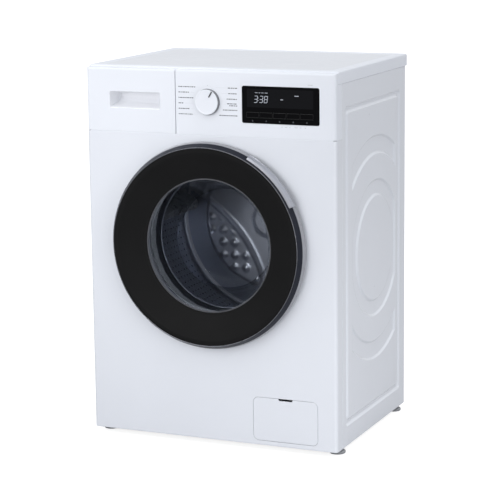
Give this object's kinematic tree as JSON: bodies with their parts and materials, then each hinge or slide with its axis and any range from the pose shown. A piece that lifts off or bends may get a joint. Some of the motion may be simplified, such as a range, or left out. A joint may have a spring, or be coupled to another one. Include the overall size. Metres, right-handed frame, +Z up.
{
  "type": "front load washing machine",
  "caption": "Freestanding front load washing machine with a round glazed door, program dial, display window, detergent drawer and suspended tub.",
  "frame": {"origin": "on the floor, under the centre of the whole object's box", "axes": "+Z up, +Y to the rear, +X to the right seen from the front"},
  "size_m": [0.6, 0.5, 0.85],
  "materials": {
    "white_enamel": "smooth white enamel",
    "white_plastic": "satin white moulding",
    "grey_plastic": "moulded grey",
    "dark_plastic": "satin dark grey",
    "silver_plastic": "metallised silver",
    "black_glass": "black back-printed glass",
    "gloss_black": "gloss black moulding",
    "clear_glass": "clear glass",
    "stainless_steel": "brushed",
    "cast_alloy": "as cast",
    "galvanised_steel": "zinc coated",
    "grey_rubber": "moulded",
    "black_rubber": "moulded",
    "concrete": "cast concrete",
    "circuit_board": "solder mask",
    "tub_plastic": "moulded"
  },
  "bodies": {
    "root": {"base_pan": "galvanised_steel", "left_side_panel": "white_enamel", "right_side_panel": "white_enamel", "front_panel": "white_enamel", "rear_panel": "white_enamel", "rear_access_cover": "white_enamel", "worktop": "white_plastic", "control_fascia": "white_plastic", "display_window": "black_glass", "control_board": "circuit_board", "dispenser_housing": "grey_plastic", "inlet_valve": "grey_plastic", "mains_inlet": "dark_plastic", "drain_pump": "grey_plastic", "drain_hose": "grey_plastic", "door_lock": "grey_plastic", "hinge_bracket": "stainless_steel", "damper_cylinder_left": "dark_plastic", "damper_cylinder_right": "dark_plastic", "spring_left": "stainless_steel", "spring_right": "stainless_steel", "door_gasket": "grey_rubber", "sump_hose": "black_rubber"},
    "foot_front_left": {"foot_front_left": "black_rubber"},
    "foot_front_right": {"foot_front_right": "black_rubber"},
    "foot_rear_left": {"foot_rear_left": "black_rubber"},
    "foot_rear_right": {"foot_rear_right": "black_rubber"},
    "door": {"door_ring": "dark_plastic", "door_surround": "gloss_black", "door_bowl": "clear_glass", "door_inner_frame": "grey_plastic", "door_handle": "silver_plastic"},
    "hook": {"door_hook": "stainless_steel"},
    "drawer": {"drawer_front": "white_plastic", "drawer_tray": "white_plastic"},
    "dial": {"program_dial": "white_plastic"},
    "key_1": {"key_1": "black_glass"},
    "key_2": {"key_2": "black_glass"},
    "key_3": {"key_3": "black_glass"},
    "key_4": {"key_4": "black_glass"},
    "key_5": {"key_5": "black_glass"},
    "flap": {"service_flap": "white_plastic"},
    "filter": {"drain_filter": "dark_plastic"},
    "impeller": {"pump_impeller": "dark_plastic"},
    "tub": {"tub_front": "tub_plastic", "tub_rear": "tub_plastic", "counterweight": "concrete", "heater": "stainless_steel", "damper_rod_left": "stainless_steel", "damper_rod_right": "stainless_steel", "motor": "dark_plastic", "main_bearing": "stainless_steel", "drive_belt": "black_rubber"},
    "rotor": {"motor_pulley": "stainless_steel"},
    "drum": {"drum": "stainless_steel", "lifter_1": "grey_plastic", "lifter_2": "grey_plastic", "lifter_3": "grey_plastic", "drum_spider": "cast_alloy", "drum_pulley": "cast_alloy"}
  },
  "joints": [
    {"name": "door_hinge", "type": "hinge", "parent": "root", "child": "door", "pos_m": [-0.22, -0.234, 0.459], "axis": [0, 0, -1], "range_deg": [0, 120]},
    {"name": "door_hook_tilt", "type": "hinge", "parent": "door", "child": "hook", "pos_m": [0.196, -0.232, 0.459], "axis": [0, 0, 1], "range_deg": [0, 8], "stiffness_Nm_per_rad": 0.05},
    {"name": "drawer_slide", "type": "slide", "parent": "root", "child": "drawer", "axis": [0, -1, 0], "range_m": [0, 0.2]},
    {"name": "dial_turn", "type": "hinge", "parent": "root", "child": "dial", "pos_m": [0, -0.225, 0.777], "axis": [0, -1, 0], "continuous": true},
    {"name": "key_1_press", "type": "slide", "parent": "root", "child": "key_1", "axis": [0, 1, 0], "range_m": [0, 0.001], "stiffness_N_per_m": 200},
    {"name": "key_2_press", "type": "slide", "parent": "root", "child": "key_2", "axis": [0, 1, 0], "range_m": [0, 0.001], "stiffness_N_per_m": 200},
    {"name": "key_3_press", "type": "slide", "parent": "root", "child": "key_3", "axis": [0, 1, 0], "range_m": [0, 0.001], "stiffness_N_per_m": 200},
    {"name": "key_4_press", "type": "slide", "parent": "root", "child": "key_4", "axis": [0, 1, 0], "range_m": [0, 0.001], "stiffness_N_per_m": 200},
    {"name": "key_5_press", "type": "slide", "parent": "root", "child": "key_5", "axis": [0, 1, 0], "range_m": [0, 0.001], "stiffness_N_per_m": 200},
    {"name": "flap_hinge", "type": "hinge", "parent": "root", "child": "flap", "pos_m": [0.177, -0.211, 0.037], "axis": [1, 0, 0], "range_deg": [0, 90]},
    {"name": "filter_turn", "type": "hinge", "parent": "root", "child": "filter", "pos_m": [0.177, -0.2, 0.075], "axis": [0, -1, 0], "range_deg": [0, 180]},
    {"name": "impeller_spin", "type": "hinge", "parent": "root", "child": "impeller", "pos_m": [0.177, -0.135, 0.075], "axis": [0, 1, 0], "continuous": true},
    {"name": "tub_float", "type": "slide", "parent": "root", "child": "tub", "axis": [0, 0, 1], "range_m": [-0.008, 0.008], "stiffness_N_per_m": 20000, "springref_m": 0.01126, "deforming": ["spring_left", "spring_right", "sump_hose", "door_gasket"]},
    {"name": "drum_spin", "type": "hinge", "parent": "tub", "child": "drum", "pos_m": [0, 0.1, 0.459], "axis": [0, 1, 0], "continuous": true},
    {"name": "motor_spin", "type": "hinge", "parent": "tub", "child": "rotor", "pos_m": [0.125, 0.19, 0.14], "axis": [0, 1, 0], "continuous": true},
    {"name": "foot_front_left_turn", "type": "hinge", "parent": "root", "child": "foot_front_left", "pos_m": [-0.281, -0.164, 0.02], "axis": [0, 0, 1], "continuous": true},
    {"name": "foot_front_right_turn", "type": "hinge", "parent": "root", "child": "foot_front_right", "pos_m": [0.281, -0.164, 0.02], "axis": [0, 0, 1], "continuous": true},
    {"name": "foot_rear_left_turn", "type": "hinge", "parent": "root", "child": "foot_rear_left", "pos_m": [-0.281, 0.21, 0.02], "axis": [0, 0, 1], "continuous": true},
    {"name": "foot_rear_right_turn", "type": "hinge", "parent": "root", "child": "foot_rear_right", "pos_m": [0.281, 0.21, 0.02], "axis": [0, 0, 1], "continuous": true}
  ],
  "couplings": [
    {"joint": "motor_spin", "follows": "drum_spin", "ratio": 13}
  ]
}
